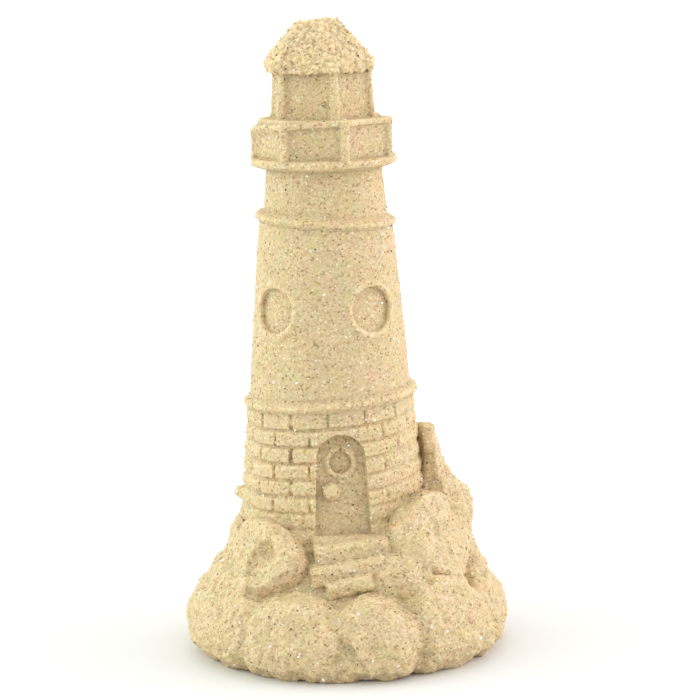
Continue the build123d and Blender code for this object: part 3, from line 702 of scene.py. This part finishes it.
def camera():
    """The camera, higher than the roof and a little to the right of the tower's axis, looking down."""
    eye = Vector((AXIS.x + CAMERA_SIDE, AXIS.y - CAMERA_BACK, CAMERA_HEIGHT))
    aim = Vector((AXIS.x + CAMERA_SIDE, AXIS.y, AIM_HEIGHT))
    forward = (aim - eye).normalized()
    right = forward.cross(Vector((0, 0, 1))).normalized()
    up = right.cross(forward)
    turn = Matrix.Rotation(CAMERA_ROLL, 3, forward)
    right, up = turn @ right, turn @ up
    data = bpy.data.cameras.new("camera")
    data.lens = CAMERA_LENS
    data.sensor_width = CAMERA_SENSOR
    data.sensor_fit = "HORIZONTAL"
    data.clip_start = CAMERA_NEAR
    eye_object = bpy.data.objects.new("camera", data)
    pose = Matrix((right, up, -forward)).transposed().to_4x4()
    pose.translation = eye
    eye_object.matrix_world = pose
    SCENE.collection.objects.link(eye_object)
    SCENE.camera = eye_object


def floor():
    """A white card that the figurine stands on."""
    mesh = bpy.data.meshes.new("floor")
    corners = [(x * FLOOR_HALF, y * FLOOR_HALF, 0) for x, y in ((-1, -1), (1, -1), (1, 1), (-1, 1))]
    mesh.from_pydata(corners, [], [(0, 1, 2, 3)])
    mesh.materials.append(white_floor())
    place("floor", mesh)


def light_tent():
    """A tent of white cloth: bright from both sides and above, dimmer from the front."""
    world = bpy.data.worlds.new("light tent")
    world.use_nodes = True
    tree = world.node_tree
    towards = add(tree, "ShaderNodeTexCoord").outputs["Generated"]
    front = add(tree, "ShaderNodeVectorMath", {0: towards, 1: (0, -1, 0)}, operation="DOT_PRODUCT")
    ways = add(tree, "ShaderNodeSeparateXYZ", {0: towards}).outputs
    across = add(tree, "ShaderNodeMath", {0: ways["X"]}, operation="ABSOLUTE")
    glow = None
    for way, (start, end), low, high in (
        (front.outputs["Value"], FRONT_SPREAD, TENT_ROUND, TENT_FRONT),
        (across.outputs[0], WALLS_SPREAD, 0.0, TENT_WALLS),
        (ways["Z"], ROOF_SPREAD, 0.0, TENT_ROOF),
    ):
        share = add(tree, "ShaderNodeMapRange", {0: way, 1: start, 2: end, 3: low, 4: high},
                    interpolation_type="SMOOTHSTEP")
        before = glow.outputs[0] if glow else 0.0
        glow = add(tree, "ShaderNodeMath", {0: share.outputs[0], 1: before}, operation="ADD")
    tree.links.new(glow.outputs[0], tree.nodes["Background"].inputs["Strength"])
    side = add(tree, "ShaderNodeMapRange", {0: ways["X"], 1: -TENT_BLEND, 2: TENT_BLEND})
    cloth = add(tree, "ShaderNodeMix", {0: side.outputs[0], 6: linear(TENT_LEFT), 7: linear(TENT_RIGHT)},
                data_type="RGBA")
    tree.links.new(cloth.outputs[2], tree.nodes["Background"].inputs["Color"])
    SCENE.world = world
    SCENE.view_settings.view_transform = "Standard"


# Figurine


def cast_pieces(skin, surface, sand):
    """Every piece of the figurine, with its outside on the skin and covered with grains."""
    tree = BVHTree.FromPolygons(points_of(skin).tolist(), [tuple(face.vertices) for face in skin.polygons])
    skin_ridges = ridges(skin)
    slots = {part["node"]: part["material_slot"] for part in frame["record"]["subparts"]}
    for node in sorted(frame["nodes"]):
        mesh = on_skin(node, tree, skin_ridges)
        mark_heights(mesh, "clump", CLUMPS)
        coarse = ROOF_GRAINS if node == "roof_cap" else {}
        mesh = grown(node + "_work", mesh, surface, Material=sand[slots[node]], **coarse)
        points = points_of(mesh)
        points[:, 2] = np.maximum(points[:, 2], 0)
        set_points(mesh, points)
        mesh.shade_smooth()
        piece = place(node + "_sand", mesh)
        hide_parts(node)
        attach(piece, "root")


def loose_grains(skin):
    """Grains of other minerals strewn over the skin and half sunk in it."""
    kinds = (
        # Weathered dark mineral: small matt specks
        ("grains_dark", single_grain("dark mineral grains", "#54473a", 0.6), 1.7e4, 0.10, 0.24, 11),
        # Weathered brown mineral: many faint specks, a little darker than the sand
        ("grains_brown", single_grain("brown mineral grains", "#a88f66", 0.6), 0.9e5, 0.10, 0.21, 17),
        # Iron-stained quartz: larger specks with a warm, half-gloss look
        ("grains_amber", single_grain("amber quartz grains", "#c39a3f", 0.4), 1.1e4, 0.14, 0.32, 23),
        # Mica: smooth flakes that flash where they catch the light
        ("grains_clear", single_grain("bright mica grains", "#fffdf8", 0.15, 0.85), 1.6e4, 0.15, 0.34, 41),
    )
    scatter = strewn_tree()
    for name, material, density, smallest, largest, seed in kinds:
        values = {"Per Square Metre": density, "Smallest": smallest * MM, "Largest": largest * MM,
                  "Seed": seed, "Material": material}
        piece = place(name, grown(name + "_work", skin.copy(), scatter, **values))
        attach(piece, "root")


def figurine():
    """The whole figurine: the skin, the pieces on it, and the loose grains."""
    surface = sand_tree()
    skin = casting_skin()
    mark_heights(skin, "lump", LUMPS)
    skin = grown("skin_work", skin, surface, **{"Grain Height": 0.0})
    skin.attributes.remove(skin.attributes["lump"])
    sand = {
        "tower_sand": bonded_sand("cast beach sand of the tower"),
        "rock_sand": bonded_sand("cast beach sand of the rocks"),
        "roof_sand": bonded_sand("clumped sand of the roof", clumped=True),
    }
    cast_pieces(skin, surface, sand)
    score_joints(skin)
    mark_heights(skin, "clump", CLUMPS)
    loose_grains(grown("skin_work", skin, surface, Material=sand["rock_sand"]))


camera()
floor()
light_tent()
figurine()
